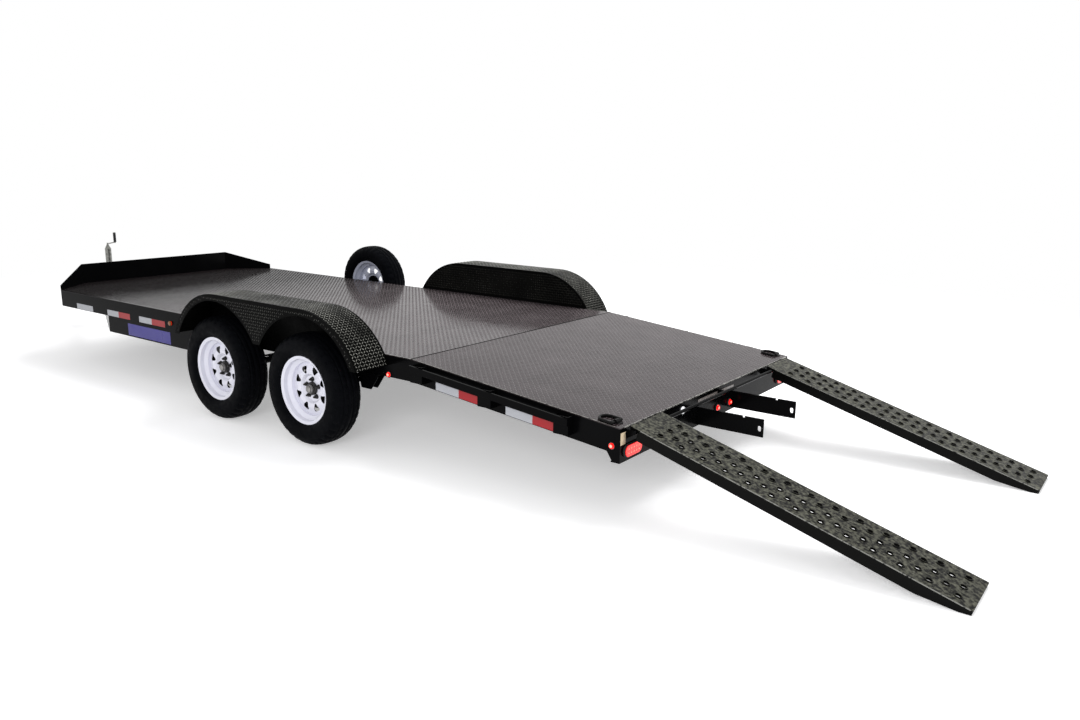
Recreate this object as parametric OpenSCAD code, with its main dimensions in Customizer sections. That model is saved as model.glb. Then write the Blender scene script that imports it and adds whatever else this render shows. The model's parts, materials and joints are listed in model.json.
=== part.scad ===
// Tandem-axle car trailer: a steel treadplate deck on channel rails, a dovetail,
// a low bulkhead, two fenders, a spare wheel and two ramps hooked on behind.
// +X points to the rear, +Y to the kerb side, +Z up. The origin is on the ground,
// under the middle of the overall length and width. All sizes are millimetres.

/* [Deck] */
// Length of the deck behind the chamfered nose
deck_len = 5486; // [4800:1:6100]
// Width over the side rails
deck_w = 2082; // [1960:1:2140]
// Height of the level deck above the ground
deck_h = 605; // [590:1:640]
// Thickness of the treadplate
plate_t = 5; // [3:0.5:8]
// Length of the chamfered nose
nose_len = 284; // [220:1:360]
// Width of the nose at its front
nose_w = 1426; // [1200:1:1600]
// Length of the sloping dovetail
dovetail_len = 1390; // [1200:1:1500]
// Drop of the dovetail over its length
dovetail_drop = 139; // [100:1:160]

/* [Frame] */
// Depth of the side rail channel
rail_h = 127; // [120:1:152]
// Width of the rail flanges
rail_b = 44; // [38:1:60]
// Thickness of the rail web
rail_web = 5; // [4:0.5:8]
// Thickness of the rail flanges
rail_flange = 8; // [6:0.5:10]
// Depth of the floor crossmembers
cross_h = 76; // [64:1:90]
// Width of the floor crossmembers
cross_b = 38; // [30:1:50]
// Thickness of the floor crossmembers
cross_t = 5; // [4:0.5:7]
// Largest spacing of the floor crossmembers
cross_pitch = 610; // [400:1:700]
// Height of the bulkhead above the deck
bulkhead_h = 166; // [120:1:220]
// Height of the bulkhead at the ends of its wings
wing_h = 39; // [20:1:80]
// Thickness of the bulkhead sheet
bulkhead_t = 5; // [3:0.5:8]

/* [Tongue] */
// Length from the coupler nose to the front of the nose
tongue_len = 1350; // [1250:1:1450]
// Angle of each tongue leg to the centre line
tongue_angle = 25; // [23:0.5:27]
// Distance from the front ends of the side rails to the bend of the tongue
tongue_bend = 750; // [650:1:850]
// Half width of the tongue where it meets the coupler
coupler_half = 62; // [55:1:70]
// Diameter of the tow ball socket
socket_d = 51.2; // [48:0.1:60]
// Wall of the coupler casting
coupler_wall = 9; // [7:0.5:12]

/* [Jack] */
// Distance from the coupler nose to the jack
jack_back = 440; // [400:1:470]
// Outer diameter of the jack tube
jack_d = 57; // [50:1:64]
// Wall of the jack tube
jack_wall = 4; // [3:0.5:6]
// Height of the top of the jack tube
jack_top = 791; // [740:1:850]
// Outer diameter of the jack leg
jack_leg_d = 48; // [40:1:48.8]
// Diameter of the jack foot
jack_foot_d = 130; // [100:1:160]
// Radius of the jack crank
crank_r = 150; // [110:1:170]
// Angle of the crank forward of the kerb side
crank_turn = 35; // [0:5:90]
// Length of the crank grip
grip_len = 93; // [80:1:120]

/* [Wheels] */
// Outer radius of the tyres
tyre_r = 344; // [330:1:350]
// Width of the tyres
tyre_w = 203; // [185:1:206]
// Distance between the two axles
axle_gap = 890; // [860:1:930]
// Distance from the middle of the axles to the bend of the deck
axle_ahead = 1156; // [1100:1:1250]
// Gap between a tyre and the side rail
tyre_in_gap = 21; // [18:1:30]
// Gap between a tyre and the fender skirt
tyre_gap = 27; // [20:1:34]
// Radius of the rim flange
rim_r = 213; // [205:1:216]
// Width of the rim between its bead seats
rim_w = 140; // [127:1:152]
// Thickness of the rim steel
rim_t = 4; // [3:0.5:5]
// Thickness of the rim's disc
disc_t = 4; // [3:0.5:6]
// Number of windows in a rim
windows = 8; // [6:1:10]
// Diameter of the wheel spindles
spindle_d = 38; // [34:1:44]
// Running clearance round a spindle
spindle_fit = 0.05; // [0.02:0.01:0.1]
// Diameter of the axle beams
axle_d = 60; // [54:1:66]

/* [Fenders] */
// Outer radius of the rounded ends of a fender
fender_r = 508; // [480:1:530]
// Length of the level top of a fender
fender_flat = 860; // [800:1:920]
// Distance of a fender's middle behind the middle of the axles
fender_back = 80; // [0:1:100]
// Height of the fender tops above the ground
fender_top = 852; // [840:1:880]
// Thickness of the fender sheet
fender_t = 3; // [2:0.5:5]
// Height of the fender skirt above each wheel
skirt_h = 43; // [30:1:60]
// Height of the skirt between the wheels above the ground
valley_z = 585; // [560:1:660]
// Height of the open ends of the fender above the ground
fender_foot = 545; // [500:1:570]

/* [Ramps] */
// Length of a ramp from its hook to its toe
ramp_len = 1588; // [1500:1:1700]
// Width of a ramp
ramp_w = 310; // [290:1:360]
// Depth of the ramp side flanges
ramp_h = 56; // [50:1:70]
// Depth of the side flanges at the toe
toe_h = 20; // [14:1:28]
// Length of the flanges' taper to the toe
toe_cut = 215; // [160:1:260]
// Thickness of the ramp steel
ramp_t = 5; // [4:0.5:7]
// Distance of the ramps' outer edges from the deck's middle
ramp_out = 975; // [900:1:1010]
// Distance of the hook bar behind the deck
hook_out = 47; // [47:1:60]
// Depth of the hook bar below the rear edge of the deck
hook_drop = 24; // [20:1:40]
// Diameter of the hook bar
hook_d = 19; // [16:1:22]
// Clearance of a ramp hook round the bar
hook_fit = 0.3; // [0.2:0.1:0.6]
// Diameter of the traction holes
grip_d = 28; // [24:1:34]
// Spacing of the traction holes along a ramp
grip_pitch = 118; // [100:1:130]

/* [Rear] */
// Height of the apron below the rear edge of the deck
apron_h = 176; // [160:1:200]
// Thickness of the apron
apron_t = 6; // [4:0.5:8]
// Distance of the ramp cradle arms from the middle
arm_y = 225; // [180:1:260]
// Depth of the cradle arms
arm_h = 98; // [80:1:110]
// Thickness of the cradle arms
arm_t = 10; // [8:1:12]
// Reach of the cradle arms behind the apron
arm_out = 378; // [320:1:420]
// Number of stake pockets on each side of the dovetail
pockets = 3; // [2:1:3]
// Spacing of the stake pockets
pocket_pitch = 495; // [420:1:520]
// Length of a stake pocket
pocket_l = 90; // [80:1:100]
// Reach of a stake pocket beyond its rail
pocket_out = 50; // [45:1:60]

/* [Spare wheel] */
// Distance from the spare wheel to the middle of the axles
spare_ahead = 1550; // [1500:1:1700]
// Height of the spare wheel's centre
spare_z = 566; // [540:1:600]

/* [Hidden] */
$fn = 48;

black = [0.05, 0.05, 0.055];
tread_grey = [0.32, 0.32, 0.33];
rubber_black = [0.09, 0.09, 0.1];
wheel_white = [0.92, 0.92, 0.93];
steel = [0.72, 0.73, 0.75];
lamp_red = [0.8, 0.08, 0.06];

// Ramp pose: the toe's foot lies flat on the ground
hook_deep = 16;
hook_z = deck_h - dovetail_drop - hook_drop;
toe_low = hook_deep - toe_h;
ramp_angle = asin(hook_z / sqrt(ramp_len * ramp_len + toe_low * toe_low)) + atan2(toe_low, ramp_len);
ramp_reach = hook_out + ramp_len * cos(ramp_angle) + hook_deep * sin(ramp_angle);

// Stations along the trailer
overall_len = tongue_len + nose_len + deck_len + ramp_reach;
front_x = -overall_len / 2;
nose_x = front_x + tongue_len;
rail_x = nose_x + nose_len;
rear_x = rail_x + deck_len;
bend_x = rear_x - dovetail_len;
axle_mid = bend_x - axle_ahead;
axle_x = [axle_mid - axle_gap / 2, axle_mid + axle_gap / 2];
tongue_bend_x = rail_x + tongue_bend;
hook_x = rear_x + hook_out;
jack_x = front_x + jack_back;

// Heights and half widths
half_w = deck_w / 2;
rail_top = deck_h - plate_t;
rail_low = rail_top - rail_h;
tongue_low = rail_low - rail_h;
rear_z = deck_h - dovetail_drop;
slope = atan2(dovetail_drop, dovetail_len);
apron_low = rear_z - apron_h;
wheel_y = half_w + tyre_in_gap + tyre_w / 2;
fender_out = wheel_y + tyre_w / 2 + tyre_gap + fender_t;
nose_angle = atan2((deck_w - nose_w) / 2, nose_len);

// Height of the deck's top surface at a station
function deck_z(x) = x < bend_x ? deck_h : deck_h - dovetail_drop * (x - bend_x) / dovetail_len;

// The nose outline in plan, moved inward by w
function nose_line(w) =
    let (s0 = (nose_len - w * sin(nose_angle)) / cos(nose_angle),
         s1 = w * (1 - sin(nose_angle)) / cos(nose_angle),
         y0 = nose_w / 2 - w * cos(nose_angle) + s0 * sin(nose_angle),
         y1 = nose_w / 2 - w * cos(nose_angle) + s1 * sin(nose_angle))
    [[rail_x, -y0], [nose_x + w, -y1], [nose_x + w, y1], [rail_x, y0]];

// A list in reverse order
function flip(list) = [for (i = [len(list) - 1:-1:0]) list[i]];

// Points on an arc from angle a0 to a1
function arc(cx, cy, r, a0, a1, n) =
    [for (i = [0:n]) let (a = a0 + (a1 - a0) * i / n) [cx + r * cos(a), cy + r * sin(a)]];

// A plate of thickness t from y, with its outline drawn in X and Z
module side_plate(y, t) {
    translate([0, y + t, 0]) rotate([90, 0, 0]) linear_extrude(t) children();
}

// Both sides of the trailer, mirrored in the middle plane
module both_sides() {
    children();
    mirror([0, 1, 0]) children();
}

// A channel along X with its web outermost at y and its toes inward, following the deck
module rail_run(x0, x1, drop) {
    y = half_w;
    module strip(y0, w, top, t) {
        side_plate(y0, w) polygon([
            [x0, deck_z(x0) - drop - top], [x1, deck_z(x1) - drop - top],
            [x1, deck_z(x1) - drop - top - t], [x0, deck_z(x0) - drop - top - t]]);
    }
    strip(y - rail_web, rail_web, 0, rail_h);
    strip(y - rail_b, rail_b - rail_web / 2, 0, rail_flange);
    strip(y - rail_b, rail_b - rail_web / 2, rail_h - rail_flange, rail_flange);
}

module deck_plate() {
    color(tread_grey)
    translate([0, 0, rail_top]) linear_extrude(plate_t)
        polygon(concat([[bend_x, -half_w]], nose_line(0), [[bend_x, half_w]]));
}

module dovetail_plate() {
    color(tread_grey)
    side_plate(-half_w, deck_w) polygon([
        [bend_x, deck_h], [rear_x, rear_z], [rear_x, rear_z - plate_t], [bend_x, rail_top]]);
}

module bulkhead() {
    color(black)
    intersection() {
        translate([0, 0, deck_h]) linear_extrude(bulkhead_h)
            polygon(concat(nose_line(0), flip(nose_line(bulkhead_t))));
        side_plate(-half_w, deck_w) polygon([
            [nose_x, deck_h], [rail_x, deck_h], [rail_x, deck_h + wing_h],
            [nose_x + bulkhead_t, deck_h + bulkhead_h], [nose_x, deck_h + bulkhead_h]]);
    }
}

module side_rails() {
    color(black) both_sides() rail_run(rail_x, bend_x, plate_t);
}

module dovetail_rails() {
    color(black) both_sides() rail_run(bend_x, rear_x - apron_t, plate_t);
}

module nose_channel() {
    module ring(w, top, t) {
        translate([0, 0, rail_top - top - t]) linear_extrude(t)
            polygon(concat(nose_line(0), flip(nose_line(w))));
    }
    color(black) {
        ring(rail_web, 0, rail_h);
        ring(rail_b, 0, rail_flange);
        ring(rail_b, rail_h - rail_flange, rail_flange);
    }
}

// A floor crossmember: a channel coped round the flanges of the rails
module crossmember() {
    web_span = deck_w - 2 * rail_web;
    toe_span = deck_w - 2 * rail_b;
    translate([0, -web_span / 2, -cross_h]) cube([cross_t, web_span, cross_h - rail_flange]);
    translate([0, -toe_span / 2, -cross_h]) cube([cross_t, toe_span, cross_h]);
    translate([0, -web_span / 2, -cross_h]) cube([cross_b, web_span, cross_t]);
    translate([0, -toe_span / 2, -cross_t]) cube([cross_b, toe_span, cross_t]);
}

module floor_crossmembers() {
    level = bend_x - rail_x - cross_b;
    n = ceil(level / cross_pitch);
    sloped = dovetail_len / cos(slope) - cross_b - rail_b;
    m = ceil(sloped / cross_pitch);
    color(black) {
        for (i = [0:n]) translate([rail_x + level * i / n, 0, rail_top]) crossmember();
        translate([bend_x, 0, rail_top]) rotate([0, slope, 0])
            for (i = [1:m - 1]) translate([sloped * i / m, 0, 0]) crossmember();
    }
}

module tongue_rails() {
    tail_x = axle_x[0] - spring_half - hanger_l;
    color(black) both_sides() rail_run(tongue_bend_x, tail_x, plate_t + rail_h);
}

// The legs run on from the tongue rails to the coupler
leg_tip_x = tongue_bend_x - (half_w - coupler_half) / tan(tongue_angle);

module tongue_legs() {
    module strip(w, top, t) {
        dy = w / cos(tongue_angle);
        translate([0, 0, rail_low - top - t]) linear_extrude(t) polygon([
            [tongue_bend_x, half_w], [leg_tip_x, coupler_half],
            [leg_tip_x, coupler_half - dy], [tongue_bend_x, half_w - dy]]);
    }
    color(black) both_sides() {
        strip(rail_web, 0, rail_h);
        strip(rail_b, 0, rail_flange);
        strip(rail_b, rail_h - rail_flange, rail_flange);
    }
}

// The coupler: a plate over the leg tips, a ball housing with its latch and the jack's seat
coupler_z = rail_low - rail_h / 2;
socket_r = socket_d / 2;
socket_deep = 16;
ball_back = 75;
ball_x = front_x + ball_back;
seat_t = 8;

// Half the distance between the outer faces of the legs at a station
function leg_half(x) = coupler_half + (x - leg_tip_x) * tan(tongue_angle);

module coupler() {
    body_r = socket_r + coupler_wall;
    nose_w = 64;
    neck_z = coupler_z + socket_r + 8;
    mount_t = 12;
    seat_x = jack_x + 90;
    low = coupler_z - socket_deep;
    latch_w = 20;
    latch = [[12, 0], [30, 24], [150, 40], [158, 33], [62, 16], [74, 0]];
    color(black) difference() {
        union() {
            translate([ball_x, 0, low]) cylinder(r = body_r, h = rail_low - low);
            translate([front_x, -nose_w / 2, low]) cube([ball_back, nose_w, rail_low - low]);
            translate([ball_x, -body_r, neck_z]) cube([leg_tip_x - ball_x, 2 * body_r, rail_low - neck_z]);
            translate([leg_tip_x - mount_t, -coupler_half, tongue_low])
                cube([mount_t, 2 * coupler_half, rail_h]);
            translate([0, 0, rail_low]) linear_extrude(seat_t) polygon([
                [ball_x, -body_r], [leg_tip_x, -coupler_half], [seat_x, -leg_half(seat_x)],
                [seat_x, leg_half(seat_x)], [leg_tip_x, coupler_half], [ball_x, body_r]]);
            side_plate(-latch_w / 2, latch_w) translate([front_x, rail_low]) polygon(latch);
        }
        translate([ball_x, 0, low - 1]) cylinder(r = socket_r, h = socket_deep + 1);
        translate([ball_x, 0, coupler_z]) sphere(r = socket_r);
        translate([jack_x, 0, rail_low - 1]) cylinder(r = jack_d / 2, h = seat_t + 2);
    }
}

// The jack: a tube through the coupler's plate, a leg that slides in it and a crank on top
jack_low = 255;

module jack_tube() {
    head_h = 36;
    head_d = 26;
    collar = 40;
    screw_d = 14.1;
    color(steel) translate([jack_x, 0, 0]) difference() {
        union() {
            translate([0, 0, jack_low]) cylinder(d = jack_d, h = jack_top - jack_low);
            translate([0, 0, jack_top]) cylinder(d1 = jack_d + 4, d2 = head_d, h = head_h);
            translate([0, 0, rail_low + seat_t]) cylinder(d = jack_d + collar, h = seat_t);
        }
        translate([0, 0, jack_low - 1]) cylinder(d = jack_d - 2 * jack_wall, h = jack_top - jack_low + 1);
        translate([0, 0, jack_top - 1]) cylinder(d = screw_d, h = head_h + 2);
    }
}

module jack_leg() {
    foot_t = 6;
    leg_gap = 240;
    color(steel) translate([jack_x, 0, 0]) {
        cylinder(d = jack_foot_d, h = foot_t);
        cylinder(d = jack_leg_d, h = jack_top - leg_gap);
    }
}

// The crank turns above the tube's head and reaches to the kerb side, turned forward
module jack_crank() {
    arm_z = jack_top + 52;
    shaft_d = 14;
    collar_z = jack_top + 36.3;
    arm_d = 11;
    post_d = 13;
    grip_d = 25;
    rise = 1;
    end_z = arm_z + crank_r * tan(rise);
    translate([jack_x, 0, 0]) rotate([0, 0, crank_turn]) {
        color(steel) {
            translate([0, 0, jack_top - 4]) cylinder(d = shaft_d, h = arm_z - jack_top + shaft_d);
            translate([0, 0, collar_z]) cylinder(d = 24, h = 8);
            translate([0, 0, arm_z]) rotate([rise - 90, 0, 0]) cylinder(d = arm_d, h = crank_r / cos(rise));
            translate([0, crank_r, end_z - 8]) cylinder(d = post_d, h = grip_len + 10);
        }
        color(black) translate([0, crank_r, end_z + 6]) cylinder(d = grip_d, h = grip_len);
    }
}

// The tandem axles with their spindles
spring_half = 320;
spring_y = half_w - rail_b / 2;
spring_w = rail_b;
drum_in = 75;
hub_end = 38;
cap_t = 4;
drum_gap = 10;
pad_h = 4;

module axle_beams() {
    beam_end = wheel_y - drum_in - drum_gap;
    spindle_end = wheel_y + hub_end - 4;
    pad_l = 90;
    color(black) for (x = axle_x) translate([x, 0, tyre_r]) {
        rotate([90, 0, 0]) cylinder(d = axle_d, h = 2 * beam_end, center = true);
        rotate([90, 0, 0]) cylinder(d = spindle_d, h = 2 * spindle_end, center = true);
        for (s = [-1, 1]) translate([-pad_l / 2, s * spring_y - spring_w / 2, 0])
            cube([pad_l, spring_w, axle_d / 2 + pad_h]);
    }
}

// A backing plate closes each brake drum at the end of its axle beam
module backing_plates() {
    backing_r = 128;
    backing_t = 4;
    color(black) for (x = axle_x, s = [-1, 1]) on_wheel(x, s)
        translate([0, 0, -drum_in - drum_gap]) difference() {
            cylinder(r = backing_r, h = backing_t);
            translate([0, 0, -1]) cylinder(d = spindle_d, h = backing_t + 2);
        }
}

// A pack of arched leaves with an eye at each end of the main leaf
leaf_t = 7;
leaves = 3;
leaf_base = tyre_r + axle_d / 2 + pad_h;
eye_r = 16;
eye_bore = 7;
eye_z = rail_low - 38;
leaf_rise = eye_z - eye_r - leaf_base;
arch_r = (spring_half * spring_half + leaf_rise * leaf_rise) / (2 * leaf_rise);

// The space inside the arch of leaves, drawn in X and Z with the axle at X = 0
module arch(depth) {
    translate([0, leaf_base + arch_r]) circle(r = arch_r - depth, $fn = 360);
}

module leaf_springs() {
    color(black) for (x = axle_x, s = [-1, 1])
        translate([x, 0, 0]) side_plate(s * spring_y - spring_w / 2, spring_w) difference() {
            union() {
                for (i = [1:leaves]) let (half = spring_half * (0.18 + 0.27 * i)) intersection() {
                    difference() {
                        arch(0);
                        arch(i * leaf_t);
                    }
                    translate([-min(half, spring_half), leaf_base - 1])
                        square([2 * min(half, spring_half), leaf_rise + leaf_t]);
                }
                for (e = [-1, 1]) translate([e * spring_half, eye_z]) circle(r = eye_r);
            }
            for (e = [-1, 1]) translate([e * spring_half, eye_z]) circle(r = eye_bore);
        }
}

// Two plates and four bolts clamp each spring to its axle
module spring_clamps() {
    clamp_l = 110;
    clamp_t = 10;
    bolt_d = 12;
    bolt_x = 38;
    bolt_y = spring_w / 2 + bolt_d / 2 + 1;
    width = 2 * bolt_y + 16;
    low = tyre_r - axle_d / 2 - clamp_t;
    top = leaf_base + leaves * leaf_t + clamp_t;
    nut = 10;
    nut_d = 1.7 * bolt_d;
    color(black) for (x = axle_x, s = [-1, 1]) translate([x, s * spring_y, 0]) {
        side_plate(-width / 2, width) intersection() {
            arch(leaves * leaf_t);
            translate([-clamp_l / 2, top - 2 * clamp_t]) square([clamp_l, 2 * clamp_t]);
        }
        translate([-clamp_l / 2, -width / 2, low]) cube([clamp_l, width, clamp_t]);
        for (u = [-1, 1], v = [-1, 1]) translate([u * bolt_x, v * bolt_y, 0]) {
            translate([0, 0, low - nut]) cylinder(d = bolt_d, h = top - low + 2.4 * nut);
            for (z = [low - nut, top]) translate([0, 0, z]) cylinder(d = nut_d, h = nut, $fn = 6);
        }
    }
}

// Hangers under the rails: one for the outer eye of each spring and one for the equaliser.
// The equaliser's cheeks join the springs' inner eyes.
hanger_l = 44;
hanger_t = 6;
saddle_t = 8;
eye_x = [axle_x[0] + spring_half, axle_x[1] - spring_half];

// A plate beside a spring: its inner face at w from the spring's middle, on side s
module cheek(w, s) {
    side_plate(spring_y + s * (w + hanger_t / 2) - hanger_t / 2, hanger_t) children();
}

module equalisers() {
    link = 22;
    tip = 14;
    x0 = eye_x[0] - link;
    x1 = eye_x[1] + link;
    color(black) both_sides() {
        for (s = [-1, 1]) cheek(spring_w / 2, s) difference() {
            polygon([
                [x0, eye_z - tip], [x0, eye_z + tip], [axle_mid, eye_z + link],
                [x1, eye_z + tip], [x1, eye_z - tip], [axle_mid, eye_z - link - 6]]);
            translate([axle_mid, eye_z]) circle(r = eye_bore);
        }
        for (x = eye_x) translate([x, spring_y, eye_z]) rotate([90, 0, 0])
            cylinder(r = eye_bore, h = spring_w + 3 * hanger_t, center = true);
    }
}

// A hanger at x: a saddle on the rail, two cheeks w from the spring's middle, down to a foot
module hanger(x, reach, w, foot) {
    saddle_w = spring_w + 2 * hanger_t;
    saddle_z = rail_low - saddle_t;
    translate([x - hanger_l, spring_y - saddle_w / 2, saddle_z]) cube([hanger_l + reach, saddle_w, saddle_t]);
    for (s = [-1, 1]) cheek(w, s) polygon([
        [x - hanger_l, rail_low - 1], [x + reach, rail_low - 1], [x + reach, saddle_z - 10],
        [x + reach / 2, eye_z - foot], [x - hanger_l / 2, eye_z - foot], [x - hanger_l, saddle_z - 10]]);
    translate([x, spring_y, eye_z]) rotate([90, 0, 0])
        cylinder(r = eye_bore, h = spring_w + 4 * hanger_t, center = true);
}

module spring_hangers() {
    rear_reach = 120;
    link_gap = 3;
    color(black) both_sides() {
        hanger(axle_x[0] - spring_half, hanger_l, spring_w / 2, 48);
        hanger(axle_mid, hanger_l, spring_w / 2 - hanger_t - link_gap, 24);
        hanger(axle_x[1] + spring_half, rear_reach, spring_w / 2, 60);
    }
}

// A fender profile in X and Z: two arcs of radius r joined by a level top, down to a height
fender_z = fender_top - fender_r;
fender_x = [axle_mid + fender_back - fender_flat / 2, axle_mid + fender_back + fender_flat / 2];

function fender_arc(r, low) =
    let (a = asin((low - fender_z) / r))
    concat(arc(fender_x[1], fender_z, r, a, 90, 16), arc(fender_x[0], fender_z, r, 90, 180 - a, 16));

module fender() {
    outer = fender_arc(fender_r, fender_foot);
    inner = fender_arc(fender_r - fender_t, fender_foot);
    lap = fender_foot + 10;
    side_plate(half_w, fender_out - half_w) polygon(concat(outer, flip(inner)));
    side_plate(half_w, fender_t) polygon(fender_arc(fender_r, lap));
    side_plate(fender_out - fender_t, fender_t) difference() {
        polygon(outer);
        for (x = fender_x) translate([x, fender_z]) circle(r = fender_r - skirt_h, $fn = 96);
        translate([fender_x[0], fender_foot - 1]) square([fender_flat, valley_z - fender_foot + 1]);
    }
}

module fender_left() {
    color(black) mirror([0, 1, 0]) fender();
}

module fender_right() {
    color(black) fender();
}

module rear_apron() {
    lip = 50;
    gusset = 75;
    color(black) {
        difference() {
            translate([rear_x - apron_t, -half_w, apron_low]) cube([apron_t, deck_w, apron_h - plate_t]);
            for (s = [-1, 1]) translate([rear_x - apron_t - 1, s * arm_y - arm_t / 2, arm_low])
                cube([apron_t + 2, arm_t, arm_h]);
        }
        translate([rear_x - lip, -half_w, apron_low]) cube([lip - apron_t, deck_w, apron_t]);
        both_sides() side_plate(half_w - rail_web, rail_web) polygon([
            [rear_x - gusset, deck_z(rear_x - gusset) - plate_t - rail_h],
            [rear_x - apron_t, deck_z(rear_x - apron_t) - plate_t - rail_h],
            [rear_x - apron_t, apron_low], [rear_x - lip + 10, apron_low]]);
    }
}

// The bar that the ramps hook on, held off the apron by lugs
module hook_bar() {
    lug_t = 8;
    lug_gap = 10;
    bar_half = ramp_out + lug_gap + 8;
    lugs = [0, ramp_out - ramp_w - lug_gap, ramp_out + lug_gap];
    color(black) {
        translate([hook_x, 0, hook_z]) rotate([90, 0, 0]) cylinder(d = hook_d, h = 2 * bar_half, center = true);
        for (y = lugs, s = [-1, 1])
            side_plate(s * y - lug_t / 2, lug_t) polygon([
                [rear_x, hook_z + hook_d / 2], [hook_x, hook_z + hook_d / 2],
                [hook_x, hook_z - hook_d / 2], [rear_x, hook_z - hook_d - 20]]);
    }
}

arm_low = apron_low + apron_t;

module cradle_arms() {
    arm_in = 620;
    slot_r = 10;
    slot_l = 12;
    slot_in = 22;
    notch = 14;
    notch_deep = 10;
    notch_in = 120;
    slot = [rear_x + arm_out - slot_in, arm_low + arm_h * 0.45];
    color(black) both_sides() side_plate(arm_y - arm_t / 2, arm_t) difference() {
        translate([rear_x - arm_in, arm_low]) square([arm_in + arm_out, arm_h]);
        polygon(concat(
            arc(slot[0], slot[1] + slot_l / 2, slot_r, 0, 180, 10),
            arc(slot[0], slot[1] - slot_l / 2, slot_r, 180, 360, 10)));
        translate([rear_x + arm_out - notch_in, arm_low + arm_h - notch_deep]) square(notch);
    }
}

// An oval outline along Y and Z, as a flat disc with its back on the apron
module oval_lamp(y, z, l, h, t) {
    translate([rear_x, y, z]) rotate([90, 0, 90]) linear_extrude(t) {
        square([l - h, h], center = true);
        for (s = [-1, 1]) translate([s * (l - h) / 2, 0]) circle(d = h);
    }
}

lamp_t = 16;
lamp_up = 53;

module tail_lights() {
    lamp_in = 107;
    lamp_h = 57;
    lamp_l = 150;
    color(lamp_red) for (s = [-1, 1])
        oval_lamp(s * (half_w - lamp_in), apron_low + lamp_up, lamp_l, lamp_h, lamp_t);
}

// A round lamp: a base of radius r with a smaller lens
module round_lamp(r, base, lens) {
    cylinder(r = r, h = base);
    cylinder(r = 0.7 * r, h = lens);
}

module id_lights() {
    pitch = 160;
    lamp_r = 17;
    color(lamp_red) for (i = [-1:1]) translate([rear_x, i * pitch, apron_low + lamp_up]) rotate([0, 90, 0])
        round_lamp(lamp_r, lamp_t / 2, lamp_t);
}

// Marker lights on each side: ahead of the fender, behind it and at the rear corner
module side_markers() {
    lamp_r = 15;
    front = [fender_x[0] - fender_r - 440, rail_low + 45];
    middle = [bend_x - 180, rail_low + lamp_r];
    rear = [rear_x - 45, apron_low + 83];
    spots = [front, middle, rear];
    color(lamp_red) both_sides() for (p = spots) translate([p[0], half_w, p[1]]) rotate([-90, 0, 0])
        round_lamp(lamp_r, 5, 12);
}

pocket_first = 86;
pocket_h = 96;
pocket_wall = 5;
pocket_down = 14;
function pocket_x(i) = bend_x + pocket_first + i * pocket_pitch;

module stake_pockets() {
    hole_l = pocket_l - 2 * pocket_wall;
    hole_out = pocket_out - 2 * pocket_wall;
    color(black) both_sides() for (i = [0:pockets - 1]) let (x = pocket_x(i))
        translate([x - pocket_l / 2, half_w, deck_z(x) - pocket_down - pocket_h]) difference() {
            cube([pocket_l, pocket_out, pocket_h]);
            translate([pocket_wall, pocket_wall, -1]) cube([hole_l, hole_out, pocket_h + 2]);
        }
}

module rub_rails() {
    bar_t = 10;
    bar_h = 38;
    x0 = pocket_x(0) - pocket_l / 2;
    x1 = pocket_x(pockets - 1) + pocket_l / 2;
    z0 = deck_z(x0) - pocket_down - 2;
    z1 = deck_z(x1) - pocket_down - 2;
    color(black) both_sides() side_plate(half_w + pocket_out, bar_t)
        polygon([[x0, z0], [x1, z1], [x1, z1 - bar_h], [x0, z0 - bar_h]]);
}

// Wheels are drawn with their axis along Z and their outer side up
module on_wheel(x, side) {
    translate([x, side * wheel_y, tyre_r]) rotate([0, 0, side > 0 ? 180 : 0]) rotate([90, 0, 0]) children();
}

// A rounded tyre section: a superellipse between two bead seats
bead_r = rim_r - 18;

function section(a, b, low) =
    [for (t = [-170:10:170]) let (c = cos(t), s = sin(t), e = 2 / 2.9,
        x = (tyre_r + bead_r) / 2 + a * sign(c) * pow(abs(c), e), y = b * sign(s) * pow(abs(s), e))
        if (x >= low) [x, y]];

module tyre() {
    a = (tyre_r - bead_r) / 2;
    wall = 12;
    groove = 6;
    difference() {
        rotate_extrude($fn = 96) intersection() {
            difference() {
                polygon(section(a, tyre_w / 2, 0));
                polygon(section(a - wall, tyre_w / 2 - wall, 0));
                translate([bead_r - 1, -rim_w / 2 + 12]) square([wall + 4, rim_w - 24]);
                for (m = [0, 1]) mirror([0, m]) polygon([
                    [bead_r - 1, rim_w / 2 - 0.2], [rim_r + 0.4, rim_w / 2 + 3.8],
                    [rim_r + 0.4, tyre_w], [bead_r - 1, tyre_w]]);
            }
            translate([bead_r, -tyre_w]) square([tyre_r, 2 * tyre_w]);
        }
        for (i = [-1.5:1:1.5]) translate([0, 0, i * 36 - 3]) difference() {
            cylinder(r = tyre_r + 1, h = groove, $fn = 96);
            translate([0, 0, -1]) cylinder(r = tyre_r - 8, h = groove + 2, $fn = 96);
        }
    }
}

// The rim in one piece: the barrel with its drop centre, then the dished disc inside it
rim_bore = 41.5;

function rim_section() =
    let (z = rim_w / 2, s = bead_r, t = rim_t, d = disc_t, b = bead_r - 25 - rim_t)
    [[rim_r, z + 9], [rim_r, z + 4], [s + 1, z + 1], [s, z], [s - 2, z - 26], [s - 25, z - 42],
     [s - 25, -z + 54], [s - 2, -z + 36], [s, -z], [s + 1, -z - 1], [rim_r, -z - 4], [rim_r, -z - 9],
     [rim_r - t, -z - 9], [s - t, -z - 3], [s - t - 2, -z + 34], [b, -z + 51], [b, 9],
     [150, 14], [118, 22], [95, 18], [80, 0], [rim_bore, 0], [rim_bore, d], [79, d], [93, 18 + d],
     [118, 22 + d], [150, 14 + d], [b, 9 + d], [b, z - 39], [s - t - 2, z - 23], [s - t, z + 3], [rim_r - t, z + 9]];

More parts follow.
